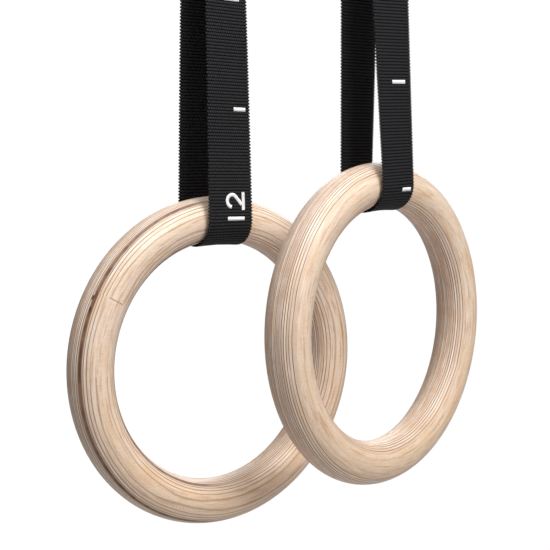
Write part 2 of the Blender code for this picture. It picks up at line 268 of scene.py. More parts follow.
def plywood(name, centre, turn, seed, joint=None):
    """Birch plywood cut through its plies, which lie parallel to the ring.

    In the ring's own frame Y is its axis and X and Z are in its plane. joint is the angle, in
    radians, of a joint in the front veneer, which comes with a brown ply behind it.
    """
    made, g, shader = material(name, Coat_Roughness=0.30, Specular_IOR_Level=0.38)
    placed = g.node("ShaderNodeMapping", {"vector_type": "TEXTURE"}, {
        "Vector": g.node("ShaderNodeTexCoord").outputs["Object"],
        "Location": centre, "Rotation": turn}).outputs[0]
    x, y, z = (part * 1000 for part in g.split(placed))      # millimetres
    radius = (x * x + z * z).math("SQRT")
    round_x, round_z = x / radius, z / radius
    angle = z.math("ARCTAN2", x)
    spot = g.joined(x, y + seed * 37.0, z)

    # Plies are never quite flat, and each one has its own tone and grain.
    waver = (g.noise(spot, 0.016, 1.0) - 0.5) * 1.5 + (g.noise(spot, 0.08, 2.0) - 0.5) * 0.20
    if joint is not None:
        waver = waver + angle.above(joint) * angle.step(joint + 0.40, joint + 0.10) * 0.30
    ply_thickness = PLY_THICKNESS * 1000
    depth = (y + waver) / ply_thickness + 0.5
    ply = depth.floor()
    share = depth - ply
    from_glue = share.least(1 - share) * ply_thickness
    tone = g.random(ply * 1.37 + seed)
    warmth = g.random(ply * 2.11 + seed + 50)
    crossed = ply.wrapped(2.0)

    # End grain shows where a ply's grain meets the cut surface, so it changes round the ring.
    upright = round_z * round_z
    edge = 1 - (y / (ROD_RADIUS * 1000)).math("POWER", 2.0).least(1.0)
    end_grain = edge * (crossed * (1 - upright * 0.65) + (1 - crossed) * upright * 0.65)
    end_grain = end_grain.step(0.15, 0.80)

    # Grain runs along Z in one ply and along X in the next, and sanding follows the ring.
    lift = ply * 7.3 + y * 0.55
    along_z = g.joined(x * 1.15, lift, z * 0.060)
    along_x = g.joined(x * 0.060, lift, z * 1.15)
    grain = g.noise(along_z, 1.0, 4.0, 0.6) * (1 - crossed) + g.noise(along_x, 1.0, 4.0, 0.6) * crossed
    dash_z = g.joined(x * 2.6, lift, z * 0.42)
    dash_x = g.joined(x * 0.42, lift, z * 2.6)
    dash = g.noise(dash_z, 1.0, 2.0) * (1 - crossed) + g.noise(dash_x, 1.0, 2.0) * crossed
    fleck = dash.step(0.56, 0.70) * (1 - end_grain)
    pores = g.noise(g.joined(x * 2.2, y * 2.2, z * 2.2), 1.0, 2.0).step(0.50, 0.70)
    streak = g.noise(g.joined(round_x * 5.5, round_z * 5.5, y * 1.1), 1.0, 3.0, 0.60,
                     fourth=radius * 0.8 + seed)
    cloud = g.noise(g.joined(round_x * 4.0, round_z * 4.0, y * 0.20), 1.0, 3.0, 0.6,
                    fourth=radius * 0.15 + seed)
    patchy = g.noise(spot, 0.11, 2.0).step(0.35, 0.65)

    wood = g.mix(end_grain * 0.66, g.mix(warmth, *BIRCH), g.mix(warmth, *END_GRAIN))
    wood = g.mix(tone.step(0.60, 0.05) * (0.06 + edge * 0.56), wood, DARK_PLY)
    wood = g.mix(cloud.step(0.46, 0.68) * 0.50, wood, HONEY_CLOUD)
    # Painted shade: the ring is coloured darker and warmer towards its bottom, for the light from above
    # falling off there.
    wood = g.mix(round_z.step(0.30, -1.0) * 0.34, wood, PAINTED_LOWER_SHADE)
    wood = g.mix(grain.step(0.40, 0.72) * 0.28, wood, GRAIN)
    wood = g.mix(streak.step(0.50, 0.66) * 0.52, wood, DARK_STREAK)
    wood = g.mix(streak.step(0.46, 0.32) * (0.25 + edge * 0.50), wood, PALE_STREAK)
    wood = g.mix(fleck * 0.30, wood, FLECK)
    wood = g.mix(pores * (0.06 + end_grain * 0.22), wood, PORE)

    # Glue lines: thin and brown beside a pale line, and faint where a face veneer runs out.
    strong = g.random(depth.math("ROUND") * 1.71 + seed + 20).step(0.25, 0.75)
    cut = 0.08 + edge.step(0.05, 0.60) * 0.92
    glue = from_glue.step(0.30, 0.10) * (0.15 + strong * (0.62 + patchy * 0.30)) * cut
    beside = from_glue.step(0.24, 0.34) * from_glue.step(0.68, 0.48)
    pale = beside * edge * (0.15 + strong * 0.35 + patchy * 0.30)
    wood = g.mix(pale, wood, GLUE_EDGE)
    wood = g.mix(glue, wood, GLUE)
    gap = 0.0
    if joint is not None:
        brown = abs(y + waver * 0.4 - BROWN_PLY_LEVEL).step(1.70, 0.50) * round_x.step(0.15, -0.35)
        wood = g.mix(brown * (0.80 + patchy * 0.20), wood, BROWN_PLY)
        face = y.step(VENEER_FROM, VENEER_TO)
        outline = from_glue.step(0.22, 0.06) * face * angle.step(joint, joint - 0.02)
        seam = (abs(angle - joint) * radius).step(0.55, 0.25) * face
        seam = seam * abs(radius - SEAM_RADIUS).step(5.6, 5.2)
        wood = g.mix((outline * 0.50).most(seam * 0.80), wood, SEAM)
        for past, level in SPLITS:
            length = (abs(angle - (joint + past)) * radius).step(2.2, 1.2)
            gap = (length * abs(y - level).step(0.75, 0.40)).most(gap)
        wood = g.mix(gap * 0.92, wood, GAP)

    height = grain * 0.35 + dash * 0.15 + streak * 0.25 - glue * 0.5 - pores * 0.3 - gap * 3.0
    feed(g, shader, Base_Color=wood,
         Roughness=0.42 + grain * 0.14 + end_grain * 0.14,
         Coat_Weight=0.30 - end_grain * 0.16,
         Normal=bump(g, height, 0.00014, 0.6))
    return made


def nylon_webbing():
    """Black nylon: ribs across it, with fine warp yarns that pass over them by turns, painted sheen on
    the rib crests and painted shade between them.
    """
    made, g, shader = material("black_nylon_webbing", Specular_IOR_Level=0.13)
    across, along, _ = g.split(g.node("ShaderNodeUVMap", {"uv_map": "UVMap"}).outputs[0])
    rib = g.value("ShaderNodeAttribute", {"attribute_name": "rib"}, output="Fac")
    row = (along / RIB_PITCH).floor()
    offset = row.wrapped(2.0) * 0.5
    yarn = abs(((across / YARN_PITCH + offset) * math.pi).sin())
    threads = g.noise(g.joined(across * 7000, along * 1200, row * 3.1), 1.0, 2.0)
    mottle = g.noise(g.joined(across * 300, along * 300, 0.0), 1.0, 3.0)
    crest = rib.step(0.25, 0.95)
    # Painted sheen and shade: the base colour rises from near black in the hollows to charcoal on the
    # rib crests, over the real weave of the yarns and threads.
    shade = crest * (yarn * 1.25 + threads * 0.30) * (0.70 + mottle * 0.6)
    feed(g, shader,
         Base_Color=g.mix(shade, colour(0.0010, 0.0010, 0.0010), colour(0.032, 0.033, 0.036)),
         Roughness=0.78 - crest * 0.16 - threads * 0.08,
         Normal=bump(g, yarn * 0.9 + threads * 0.3, 0.00035, 1.0))
    return made


def sewing_thread():
    made, g, shader = material("black_thread", Specular_IOR_Level=0.4)
    placed = g.node("ShaderNodeTexCoord").outputs["Object"]
    strands = g.noise(placed, 2600.0, 2.0)
    feed(g, shader,
         Base_Color=g.mix(strands, colour(0.012, 0.012, 0.013), colour(0.055, 0.055, 0.058)),
         Roughness=0.50 + strands * 0.2, Normal=bump(g, strands, 0.00008, 0.7))
    return made


def print_film():
    made, g, shader = material("white_print", Specular_IOR_Level=0.4)
    placed = g.node("ShaderNodeTexCoord").outputs["Object"]
    crazing = g.noise(placed, 900.0, 3.0, 0.6)
    fade = g.noise(placed, 120.0, 2.0)
    feed(g, shader,
         Base_Color=g.mix(crazing.step(0.62, 0.78) * 0.35 + fade * 0.06,
                          colour(0.93, 0.93, 0.93), colour(0.55, 0.55, 0.56)),
         Roughness=0.48 + crazing * 0.15, Normal=bump(g, crazing, 0.00005, 0.5))
    return made


def plated_steel(name, tint, shade, rough):
    """Zinc-plated steel: faintly mottled, with fine drawing marks across and worn, brighter spots."""
    made, g, shader = material(name, Metallic=1.0)
    x, y, z = g.split(g.node("ShaderNodeTexCoord").outputs["Object"])
    drawn = g.noise(g.joined(x * 60, y * 2600, z * 2600), 1.0, 3.0)
    mottle = g.noise(g.joined(x, y, z), 210.0, 4.0, 0.6)
    spots = g.noise(g.joined(x, y, z + 3.0), 1500.0, 2.0).step(0.62, 0.74)
    feed(g, shader,
         Base_Color=g.mix(mottle.step(0.35, 0.65) * 0.7 + drawn * 0.2, tint, shade),
         Roughness=rough + mottle * 0.16 + drawn * 0.10 - spots * 0.08,
         Normal=bump(g, drawn * 0.5 + spots * 0.4 + mottle * 0.4, 0.00004, 0.5))
    return made


def cast_zinc():
    """Satin die-cast zinc, tumbled smooth, with a faint orange peel and darker pits."""
    made, g, shader = material("cast_zinc", Metallic=1.0)
    placed = g.node("ShaderNodeTexCoord").outputs["Object"]
    peel = g.noise(placed, 700.0, 2.0)
    pits = g.noise(placed, 1600.0, 2.0).step(0.66, 0.76)
    cloud = g.noise(placed, 120.0, 4.0, 0.6)
    tint = g.mix(cloud.step(0.3, 0.7), colour(0.44, 0.44, 0.455), colour(0.56, 0.56, 0.565))
    feed(g, shader, Base_Color=g.mix(pits * 0.6, tint, colour(0.18, 0.18, 0.18)),
         Roughness=0.38 + cloud * 0.14 + pits * 0.2,
         Normal=bump(g, peel - pits * 0.8, 0.00007, 0.6))
    return made


# ------------------------------------------------------------- geometry trees

def geometry_tree(name, inputs):
    """A geometry tree with inputs {name: socket type}. Returns its graph and what feeds them."""
    tree = bpy.data.node_groups.new(name, "GeometryNodeTree")
    tree.interface.new_socket("Geometry", in_out="INPUT", socket_type="NodeSocketGeometry")
    tree.interface.new_socket("Geometry", in_out="OUTPUT", socket_type="NodeSocketGeometry")
    for label, kind in inputs.items():
        tree.interface.new_socket(label, in_out="INPUT", socket_type="NodeSocket" + kind)
    graph = Graph(tree)
    source = graph.node("NodeGroupInput")
    fed = {"Geometry": source.outputs["Geometry"]}
    for label, kind in inputs.items():
        out = source.outputs[label]
        fed[label] = Value(graph, out) if kind in ("Float", "Int") else out
    return graph, fed


def close_tree(graph, geometry, finish):
    """Ends a tree: instances made real, shaded smooth, given its material."""
    real = graph.node("GeometryNodeRealizeInstances", sockets={"Geometry": geometry}).outputs[0]
    smooth = graph.node("GeometryNodeSetShadeSmooth", sockets={"Geometry": real}).outputs[0]
    done = graph.node("GeometryNodeSetMaterial", sockets={"Geometry": smooth, "Material": finish})
    graph.node("NodeGroupOutput", sockets={"Geometry": done.outputs[0]})
    return graph.tree


def stored(graph, geometry, name, value, kind="FLOAT", domain="POINT"):
    settings = {"data_type": kind, "domain": domain}
    return graph.node("GeometryNodeStoreNamedAttribute", settings, {
        "Geometry": geometry, "Name": name, "Value": value}).outputs[0]


def named(graph, name, kind="FLOAT"):
    made = graph.node("GeometryNodeInputNamedAttribute", {"data_type": kind}, {"Name": name})
    return Value(graph, made.outputs[0]) if kind == "FLOAT" else made.outputs[0]


def swept(graph, line, profile):
    return graph.node("GeometryNodeCurveToMesh", sockets={
        "Curve": line, "Profile Curve": profile, "Fill Caps": True}).outputs[0]


def as_curve(graph, mesh):
    return graph.node("GeometryNodeMeshToCurve", sockets={"Mesh": mesh}).outputs[0]


def circle(graph, steps, radius):
    return graph.node("GeometryNodeCurvePrimitiveCircle", {"mode": "RADIUS"}, {
        "Resolution": steps, "Radius": radius}).outputs[0]


def ring_tree():
    """A ring: a round rod swept round a circle, then stood up and moved to its place."""
    g, fed = geometry_tree("turned ring", {
        "Ring Radius": "Float", "Rod Radius": "Float", "Ring Steps": "Int", "Rod Steps": "Int",
        "Centre": "Vector", "Turn": "Rotation", "Material": "Material"})
    rod = swept(g, circle(g, fed["Ring Steps"], fed["Ring Radius"]),
                circle(g, fed["Rod Steps"], fed["Rod Radius"]))
    stood = g.node("GeometryNodeTransform", sockets={
        "Geometry": rod, "Rotation": (math.pi / 2, 0.0, 0.0)}).outputs[0]
    placed = g.node("GeometryNodeTransform", sockets={
        "Geometry": stood, "Translation": fed["Centre"], "Rotation": fed["Turn"]}).outputs[0]
    return close_tree(g, placed, fed["Material"])


def webbing_tree():
    """Ribbed webbing along a line that holds which way its face and its width point."""
    g, fed = geometry_tree("ribbed webbing", {
        "Ribs": "Int", "Steps Per Rib": "Int", "Profile Steps": "Int", "Half Width": "Float",
        "Half Thickness": "Float", "Rib Height": "Float", "Scallop": "Float",
        "Material": "Material"})
    line = g.node("GeometryNodeSetCurveNormal", {"mode": "FREE"}, {
        "Curve": as_curve(g, fed["Geometry"]), "Normal": named(g, "outward", "FLOAT_VECTOR")})
    length = g.node("GeometryNodeSplineParameter").outputs["Length"]
    line = stored(g, line.outputs[0], "along", length)
    line = g.node("GeometryNodeResampleCurve", sockets={
        "Curve": line, "Count": fed["Ribs"] * fed["Steps Per Rib"] + 1}).outputs[0]
    index = g.value("GeometryNodeInputIndex")
    line = stored(g, line, "rib", abs((index * math.pi / fed["Steps Per Rib"]).sin()))

    # A flat oval whose unit coordinates stay on it: thick is across the thickness, wide the width.
    round_x, round_y, _ = g.split(g.node("GeometryNodeInputPosition").outputs[0])
    profile = circle(g, fed["Profile Steps"], 1.0)
    profile = stored(g, profile, "thick", round_x.sign() * abs(round_x) ** 0.30)
    profile = stored(g, profile, "wide", round_y.sign() * abs(round_y) ** 0.30)
    thick, wide, rib = named(g, "thick"), named(g, "wide"), named(g, "rib")
    flat = g.joined(thick * (fed["Half Thickness"] - fed["Rib Height"]),
                    wide * (fed["Half Width"] - fed["Scallop"] * 0.5), 0.0)
    profile = g.node("GeometryNodeSetPosition", sockets={"Geometry": profile, "Position": flat})

    body = swept(g, line, profile.outputs[0])
    raised = thick * rib * fed["Rib Height"] - named(g, "bow") * (1 - wide * wide)
    spread = wide * abs(wide) ** 6.0 * (rib - 0.5) * fed["Scallop"]
    offset = g.vector("ADD", g.scaled(named(g, "outward", "FLOAT_VECTOR"), raised),
                      g.scaled(named(g, "sideways", "FLOAT_VECTOR"), -spread))
    body = g.node("GeometryNodeSetPosition", sockets={"Geometry": body, "Offset": offset})
    flat_place = g.joined(wide * fed["Half Width"], named(g, "along"), 0.0)
    body = stored(g, body.outputs[0], "UVMap", flat_place, "FLOAT2", "CORNER")
    return close_tree(g, body, fed["Material"])


def laid(graph, geometry, line_object):
    """Bends flat geometry onto a line of webbing: X is across it, Y along it and Z off its face."""
    line = graph.node("GeometryNodeObjectInfo", sockets={"Object": line_object})
    line = graph.node("GeometryNodeSetCurveNormal", {"mode": "FREE"}, {
        "Curve": as_curve(graph, line.outputs["Geometry"]),
        "Normal": named(graph, "outward", "FLOAT_VECTOR")}).outputs[0]
    x, y, z = graph.split(graph.node("GeometryNodeInputPosition").outputs[0])
    here = graph.node("GeometryNodeSampleCurve", {"mode": "LENGTH"}, {"Curves": line, "Length": y})
    sideways = graph.vector("CROSS_PRODUCT", here.outputs["Normal"], here.outputs["Tangent"])
    place = graph.vector("ADD", here.outputs["Position"], graph.scaled(sideways, x))
    place = graph.vector("ADD", place, graph.scaled(here.outputs["Normal"], z))
    return graph.node("GeometryNodeSetPosition", sockets={
        "Geometry": geometry, "Position": place}).outputs[0]


def print_tree():
    """Printed strokes: flat ribbons of film along drawn lines, laid on the webbing."""
    g, fed = geometry_tree("printed strokes", {
        "Line": "Object", "Stroke": "Float", "Film": "Float", "Material": "Material"})
    strokes = g.node("GeometryNodeSetCurveNormal", {"mode": "Z_UP"}, {
        "Curve": as_curve(g, fed["Geometry"])}).outputs[0]
    section = g.node("GeometryNodeCurvePrimitiveQuadrilateral", sockets={
        "Width": fed["Stroke"], "Height": fed["Film"]}).outputs[0]
    return close_tree(g, laid(g, swept(g, strokes, section), fed["Line"]), fed["Material"])


def stitch_tree():
    """Lockstitches: short bent threads set end to end along drawn lines, laid on the webbing."""
    g, fed = geometry_tree("lockstitches", {
        "Line": "Object", "Pitch": "Float", "Thread Radius": "Float", "Material": "Material"})
    points = g.node("GeometryNodeCurveToPoints", {"mode": "LENGTH"}, {
        "Curve": as_curve(g, fed["Geometry"]), "Length": fed["Pitch"]})
    half = fed["Pitch"] * 0.5
    arch = g.node("GeometryNodeCurveArc", {"mode": "POINTS"}, {
        "Resolution": 6, "Start": g.joined(half * -0.92, 0.0, fed["Thread Radius"] * -1.3),
        "Middle": g.joined(0.0, 0.0, fed["Thread Radius"] * 0.9),
        "End": g.joined(half * 0.92, 0.0, fed["Thread Radius"] * -1.3)}).outputs[0]
    stitch = swept(g, arch, circle(g, 6, fed["Thread Radius"]))
    turned = g.node("FunctionNodeAlignRotationToVector", {"axis": "X", "pivot_axis": "Z"}, {
        "Vector": points.outputs["Tangent"]}).outputs[0]
    rows = g.node("GeometryNodeInstanceOnPoints", sockets={
        "Points": points.outputs["Points"], "Instance": stitch, "Rotation": turned}).outputs[0]
    rows = g.node("GeometryNodeRealizeInstances", sockets={"Geometry": rows}).outputs[0]
    return close_tree(g, laid(g, rows, fed["Line"]), fed["Material"])


def wire_tree():
    """Round wire along a line."""
    g, fed = geometry_tree("round wire", {
        "Radius": "Float", "Sides": "Int", "Material": "Material"})
    return close_tree(g, swept(g, as_curve(g, fed["Geometry"]),
                               circle(g, fed["Sides"], fed["Radius"])), fed["Material"])


# -------------------------------------------------------------------- objects

def linked(name, data):
    """A new object in the scene."""
    made = bpy.data.objects.new(name, data)
    bpy.context.collection.objects.link(made)
    return made


def edge_mesh(name, chains, vectors=None, numbers=None):
    """An object of lines only: each chain is a list of points. Attributes run over all its points."""
    mesh = bpy.data.meshes.new(name)
    points = [point for chain in chains for point in chain]
    edges, first = [], 0
    for chain in chains:
        edges += [(first + i, first + i + 1) for i in range(len(chain) - 1)]
        first += len(chain)
    mesh.from_pydata(points, edges, [])
    for label, values in (vectors or {}).items():
        attribute = mesh.attributes.new(label, "FLOAT_VECTOR", "POINT")
        attribute.data.foreach_set("vector", [part for value in values for part in value])
    for label, values in (numbers or {}).items():
        mesh.attributes.new(label, "FLOAT", "POINT").data.foreach_set("value", values)
    return linked(name, mesh)


def grown(name, source, tree, finish, **sizes):
    """The plain mesh that a geometry tree makes from source, as a new object. source is removed."""
    modifier = source.modifiers.new("grown", "NODES")
    modifier.node_group = tree
    for item in tree.interface.items_tree:
        if item.in_out == "INPUT" and item.name in sizes:
            modifier[item.identifier] = sizes[item.name]
        elif item.in_out == "INPUT" and item.name == "Material":
            modifier[item.identifier] = finish
    graph = bpy.context.evaluated_depsgraph_get()
    mesh = bpy.data.meshes.new_from_object(source.evaluated_get(graph))
    bpy.data.objects.remove(source)
    mesh.name = name
    facing_out(mesh)
    return linked(name, mesh)


def facing_out(mesh):
    shape = bmesh.new()
    shape.from_mesh(mesh)
    bmesh.ops.recalc_face_normals(shape, faces=shape.faces)
    shape.to_mesh(mesh)
    shape.free()


def softened(name, node, finish, width):
    """A copy of a CAD solid with its corners rounded, which stands for it."""
    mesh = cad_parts[node].data.copy()
    shape = bmesh.new()
    shape.from_mesh(mesh)
    bmesh.ops.remove_doubles(shape, verts=shape.verts, dist=1e-6)
    bmesh.ops.dissolve_limit(shape, angle_limit=FLAT_WITHIN, verts=shape.verts,
                             edges=shape.edges)
    bmesh.ops.recalc_face_normals(shape, faces=shape.faces)
    shape.to_mesh(mesh)
    shape.free()
    mesh.materials.clear()
    mesh.materials.append(finish)
    made = linked(name, mesh)
    rounding = made.modifiers.new("rounded corners", "BEVEL")
    rounding.width = width
    rounding.segments = 3
    rounding.limit_method = "ANGLE"
    rounding.angle_limit = ROUNDED_FROM
    rounding.miter_outer = "MITER_ARC"
    graph = bpy.context.evaluated_depsgraph_get()
    made.data = bpy.data.meshes.new_from_object(made.evaluated_get(graph))
    made.modifiers.clear()
    made.data.shade_smooth()
    made.data.set_sharp_from_angle(angle=SHARP_FROM)
    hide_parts(node)
    return made


# ------------------------------------------------------------ hanging the webbing

def between(low, high, share):
    return low + (high - low) * share


def leaned(hanger):
    """From a hanger's own upright frame, at its bar, to the row's frame."""
    return Matrix.Translation((*hanger["place"], 0)) @ Matrix.Rotation(
        math.radians(-hanger["lean"]), 4, "Y")


def wrap_level_of(hanger):
    """The height of the axis on which the half turn round the rod tilts."""
    return WRAP_RISE - hanger["drop"]


def loop_at(hanger, level):
    """The loop's half gap and yaw at a height, straight between the bar, the buckle and the wrap."""
    if level > BASE_TOP:
        share = level / BASE_TOP
        return (between(BAR_HALF_GAP, hanger["buckle_half_gap"], share),
                between(0, hanger["buckle_yaw"], share))
    wrap_level = wrap_level_of(hanger)
    share = max(0, (TWIST_LEVEL - level) / (TWIST_LEVEL - wrap_level))
    return (between(hanger["buckle_half_gap"], WRAP_HALF_GAP, share),
            between(hanger["buckle_yaw"], hanger["wrap_yaw"], share))


def eased_loop(hanger, level):
    """The same with its two corners eased."""
    nearby = [loop_at(hanger, level + CORNER_EASING * i) for i in range(-4, 5)]
    return [sum(values) / len(nearby) for values in zip(*nearby)]


def across_webbing(yaw):
    return Vector((math.cos(math.radians(yaw)), math.sin(math.radians(yaw)), 0))


def on_run(hanger, front, level, out=0.0):
    """(point, direction across) on the front or back run, out from the webbing's middle."""
    half_gap, yaw = eased_loop(hanger, level)
    across = across_webbing(yaw)
    outward = Vector((across.y, -across.x, 0)) * (1 if front else -1)
    return outward * (half_gap + out) + Vector((0, 0, level)), across


def bight(yaw, level, wide, tall, start, stop):
    """Half a turn about an axis across the webbing, its angles from the front, up being 90."""
    across = across_webbing(yaw)
    forward = Vector((across.y, -across.x, 0))
    stations = []
    for step in range(BIGHT_STEPS + 1):
        turn = math.radians(between(start, stop, step / BIGHT_STEPS))
        point = forward * wide * math.cos(turn) + Vector((0, 0, level + tall * math.sin(turn)))
        stations.append((point, across))
    return stations


def thinned(stations, spacing):
    """Stations at an even spacing along the same line."""
    points = [point for point, _ in stations]
    lengths = [0.0]
    for first, second in zip(points, points[1:]):
        lengths.append(lengths[-1] + (second - first).length)
    count = round(lengths[-1] / spacing)
    made, segment = [], 0
    for index in range(count + 1):
        target = lengths[-1] * index / count
        while segment < len(points) - 2 and lengths[segment + 1] < target:
            segment += 1
        reach = lengths[segment + 1] - lengths[segment]
        share = (target - lengths[segment]) / reach if reach else 0.0
        made.append((points[segment].lerp(points[segment + 1], share),
                     stations[segment][1].lerp(stations[segment + 1][1], share).normalized()))
    return made


def eased(stations, window):
    """The line with its corners eased: each point becomes the mean of its neighbours."""
    made = []
    for index, (_, across) in enumerate(stations):
        reach = min(window, index, len(stations) - 1 - index)
        near = stations[index - reach:index + reach + 1]
        made.append((sum((point for point, _ in near), Vector()) / len(near), across))
    return made


def webbing_line(hanger):
    """The webbing's middle from its free end through the cam, over the bar, round the rod and back
    up to the sewn eye, as stations in the row's frame, with how far each is bowed onto the rod."""
    wrap_level = wrap_level_of(hanger)

    def back(out, level):
        return on_run(hanger, False, level, out)

    stations = [back(out, level) for out, level in (
        (TAIL_OUT - TAIL_TUCK, TAIL_END), (TAIL_OUT, ANCHOR_PIN_LEVEL - 0.004),
        (TAIL_OUT, ANCHOR_PIN_LEVEL), (TAIL_OUT - TAIL_TUCK, ANCHOR_PIN_LEVEL + 0.004),
        (0.0004, CAM_PIN_LEVEL - 0.006), (0.0, CAM_PIN_LEVEL - 0.003))]
    levels = [between(CAM_PIN_LEVEL, 0, i / 30) for i in range(31)]
    stations += [back(0.0, level) for level in levels]
    stations += bight(0, 0, BAR_HALF_GAP, BAR_HALF_GAP, 180, 0)[1:]
    levels = [between(0, wrap_level, i / 150) for i in range(1, 151)]
    stations += [on_run(hanger, True, level) for level in levels]
    stations += bight(hanger["wrap_yaw"], wrap_level, WRAP_HALF_GAP, WRAP_LOW, 0, -180)[1:]
    levels = [between(wrap_level, ANCHOR_PIN_LEVEL, i / 100) for i in range(1, 101)]
    stations += [back(0.0, level) for level in levels]
    for step in range(1, 19):
        turn = math.pi * (1 - step / 18)
        stations.append(back(ANCHOR_PIN_OUT + EYE_RADIUS * math.cos(turn),
                             ANCHOR_PIN_LEVEL + EYE_RADIUS * math.sin(turn)))
    stations += [back(out, level) for out, level in (
        (2 * EYE_RADIUS - 0.0004, ANCHOR_PIN_LEVEL - 0.002), (LAP_OUT + 0.0006, THROAT_LEVEL + 0.003),
        (LAP_OUT, THROAT_LEVEL), (LAP_OUT, LAP_END))]
    stations = eased(eased(thinned(stations, STATION_SPACING), EASING), EASING)

    lean = leaned(hanger)
    points, outward, sideways, bow = [], [], [], []
    for index, (point, across) in enumerate(stations):
        before = stations[max(index - 1, 0)][0]
        after = stations[min(index + 1, len(stations) - 1)][0]
        normal = (after - before).normalized().cross(across).normalized()
        low = max(0.0, wrap_level - point.z) / WRAP_LOW
        points.append(lean @ point)
        outward.append(lean.to_3x3() @ normal)
        sideways.append(lean.to_3x3() @ across)
        bow.append(WRAP_BOW * min(1.0, low) ** 1.5)
    return points, outward, sideways, bow


def lengths_along(points):
    lengths = [0.0]
    for first, second in zip(points, points[1:]):
        lengths.append(lengths[-1] + (second - first).length)
    return lengths


# Digits as strokes. U is the reading direction and V is up, both in millimetres.
def arc(centre, radius, start, stop, squeeze=1.0):
    angles = [math.radians(between(start, stop, i / 14)) for i in range(15)]
    return [(centre[0] + radius * math.cos(a), centre[1] + radius * squeeze * math.sin(a))
            for a in angles]


DIGITS = {
    "1": [[(1.5, 0.6), (1.5, 14.9)]],
    "2": [arc((6.1, 11.0), 4.3, 172, -32) + [(6.6, 5.6), (3.4, 2.9)], [(-0.3, 1.4), (12.2, 1.4)]],
    "3": [arc((5.9, 11.6), 3.9, 165, -90, squeeze=0.95), arc((5.9, 4.9), 4.3, 92, -165)],
}
DIGIT_STEP = {"1": 7.8, "2": 13.4, "3": 13.4}


def dense(chain, spacing):
    """The same chain of points with others set between them, about this far apart."""
    made = [chain[0]]
    for first, second in zip(chain, chain[1:]):
        gap = math.dist(first, second)
        count = max(1, round(gap / spacing))
        made += [tuple(between(a, b, i / count) for a, b in zip(first, second))
                 for i in range(1, count + 1)]
    return made


def printed_strokes(zero, marks):
    """Strokes in the webbing's flat plane. zero is the length along it at the wrap's axis on the
    front, lengths there run downwards, and marks are (distance up, text), with "-" for a tick."""
    face = HALF_THICKNESS - FILM_SINK
    chains = []
    for up, text in marks:
        if text == "-":
            chains.append([(TICK_FROM, zero - up, face), (TICK_TO, zero - up, face)])
            continue
        start = up - NUMBER_LEAD
        for digit in text:
            for number, stroke in enumerate(DIGITS[digit]):
                height = face + number * STROKE_LIFT
                chains.append([(PRINT_BASE - v / 1000, zero - start - u / 1000, height)
                               for u, v in dense(stroke, STROKE_STEP)])
            start += DIGIT_STEP[digit] / 1000
    return [dense(chain, STROKE_STEP / 1000) for chain in chains]


def scale_from(first, texts):
    """Marks up the webbing, the first at this distance above the level of the wrap's axis."""
    return [(first + index * MARK_SPACING, text) for index, text in enumerate(texts)]


MARKS = {"left": scale_from(0.0013, ("12", "-", "13", "-")),
         "right": scale_from(-0.0025, ("-", "1", "-", "2"))}


def hang_webbing(side, hanger, trees, finishes):
    """The webbing of one hanger with its printed scale and its stitching."""
    points, outward, sideways, bow = webbing_line(hanger)
    lengths = lengths_along(points)
    wrap_level = wrap_level_of(hanger)
    lean = leaned(hanger)

    def line_object():
        return edge_mesh(side + "_line", [points], {"outward": outward, "sideways": sideways},
                         {"bow": bow})

    guide = line_object()
    webbing = grown(side + "_webbing", line_object(), trees["webbing"], finishes["webbing"], **{
        "Ribs": round(lengths[-1] / RIB_PITCH), "Steps Per Rib": STEPS_PER_RIB,
        "Profile Steps": PROFILE_STEPS, "Half Width": HALF_WIDTH, "Half Thickness": HALF_THICKNESS,
        "Rib Height": RIB_HEIGHT, "Scallop": SELVEDGE_SCALLOP})
    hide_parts(*(f"{side}_{node}" for node in (
        "bar_bight", "upper_front_run", "adjusting_end", "sewn_end", "front_run", "back_run",
        "rod_bight")))

    upright = lean.inverted()
    levels = [(upright @ point).z for point in points]
    lowest = levels.index(min(levels))
    top = levels.index(max(levels))
    wrap_start = next(i for i in range(top, lowest) if levels[i] <= wrap_level)
    strokes = edge_mesh(side + "_strokes", printed_strokes(lengths[wrap_start], MARKS[side]))
    scale = grown(side + "_printed_scale", strokes, trees["print"], finishes["print"], **{
        "Line": guide, "Stroke": STROKE, "Film": FILM})

    # A box with a cross in it, sewn through the two layers below the anchor pin.
    eye = max(range(lowest, len(levels)), key=lambda i: levels[i])
    lap_high, lap_low = THROAT_LEVEL - BOX_INSET, LAP_END + BOX_INSET
    lift = STITCH_SINK - HALF_THICKNESS
    rows = []
    for part in (range(eye, len(levels)), range(lowest, eye)):
        high = lengths[min(part, key=lambda i: abs(levels[i] - lap_high))]
        low = lengths[min(part, key=lambda i: abs(levels[i] - lap_low))]
        corners = [(x, y, lift) for x, y in (
            (-BOX_HALF_WIDTH, high), (BOX_HALF_WIDTH, high), (BOX_HALF_WIDTH, low),
            (-BOX_HALF_WIDTH, low))]
        for first, second in ((0, 1), (1, 2), (2, 3), (3, 0), (0, 2), (1, 3)):
            rows.append([corners[first], corners[second]])
    stitches = grown(side + "_box_stitching", edge_mesh(side + "_rows", rows), trees["stitch"],
                     finishes["thread"], **{"Line": guide, "Pitch": STITCH_PITCH,
                                            "Thread Radius": THREAD_RADIUS})
    bpy.data.objects.remove(guide)
    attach(stitches, side + "_upper_loop")

    end = lean @ Vector((0, 0, wrap_level + BLEND_ABOVE_WRAP))
    for piece in (webbing, scale):
        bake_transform(piece)


def hang_ring(side, trees, finish, centre, turn):
    holder = edge_mesh(side + "_ring_place", [[(0, 0, 0), (0, 0, 0.001)]])
    ring = grown(side + "_plywood_ring", holder, trees["ring"], finish, **{
        "Ring Radius": RING_RADIUS, "Rod Radius": ROD_RADIUS, "Ring Steps": RING_STEPS,
        "Rod Steps": ROD_STEPS, "Centre": centre, "Turn": turn})
    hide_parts(side + "_ring")
    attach(ring, side + "_ring_body")


